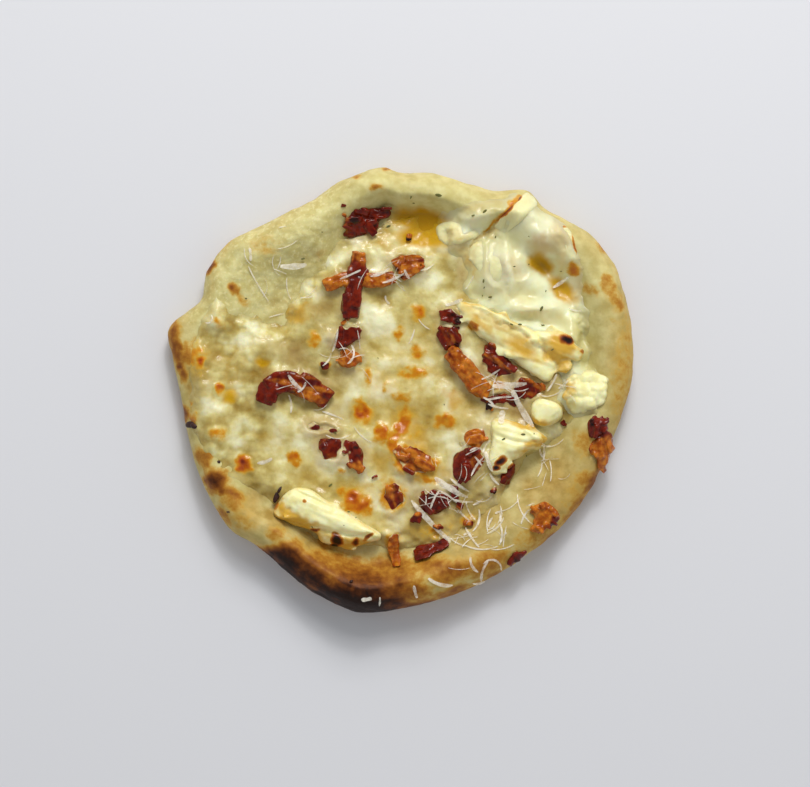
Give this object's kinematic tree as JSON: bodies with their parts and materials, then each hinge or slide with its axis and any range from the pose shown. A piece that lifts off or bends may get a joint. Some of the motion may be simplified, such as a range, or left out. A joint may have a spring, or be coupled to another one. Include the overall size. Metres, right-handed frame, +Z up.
{
  "type": "white pizza",
  "caption": "Small round white pizza with a thick raised rim, melted browned cheese, cream sauce, chicken pieces, bacon bits and shreds of hard cheese.",
  "frame": {"origin": "under the middle of the pizza, level with its flat underside", "axes": "+Z up out of the topping; +Y towards the side that is away from the eater, +X to the right as the pizza is seen from above"},
  "size_m": [0.1772, 0.1698, 0.0258],
  "materials": {
    "dough": "baked dough, dry and finely grained, golden to charred in patches",
    "cheese": "melted cheese, soft and oily, with browned blisters",
    "cream": "glossy cream sauce",
    "chicken": "cooked chicken, moist, browned at its edges",
    "bacon": "crisp bacon, oily, with amber fat"
  },
  "bodies": {
    "root": {"dough": "dough", "melted_cheese": "cheese", "cream_sauce": "cream", "chicken_lower_left": "chicken", "chicken_long": "chicken", "chicken_triangle": "chicken", "chicken_nub": "chicken", "chicken_fold": "chicken", "chicken_slab": "chicken", "chicken_sliver": "chicken", "chicken_crumble": "chicken", "chicken_curl": "chicken", "bacon_curl_down": "bacon", "bacon_across_left": "bacon", "bacon_across_right": "bacon", "bacon_crescent": "bacon", "bacon_ridge": "bacon", "bacon_low_strip": "bacon", "bacon_drip": "bacon", "bacon_wedge_top": "bacon", "bacon_grain_top": "bacon", "bacon_cluster_far": "bacon", "bacon_cluster_near": "bacon", "bacon_sunk_grey": "bacon", "bacon_sunk_left": "bacon", "bacon_sunk_right": "bacon", "bacon_dark_top": "bacon", "bacon_red": "bacon", "bacon_flat": "bacon", "bacon_dark_low": "bacon", "bacon_dark_right": "bacon", "bacon_crusted": "bacon", "bacon_low_left": "bacon", "bacon_low_right": "bacon", "bacon_middle_far": "bacon", "bacon_middle_near": "bacon", "bacon_by_triangle": "bacon", "bacon_rim_dark": "bacon", "bacon_rim_amber": "bacon", "bacon_edge_amber": "bacon", "bacon_edge_red": "bacon"}
  },
  "joints": []
}
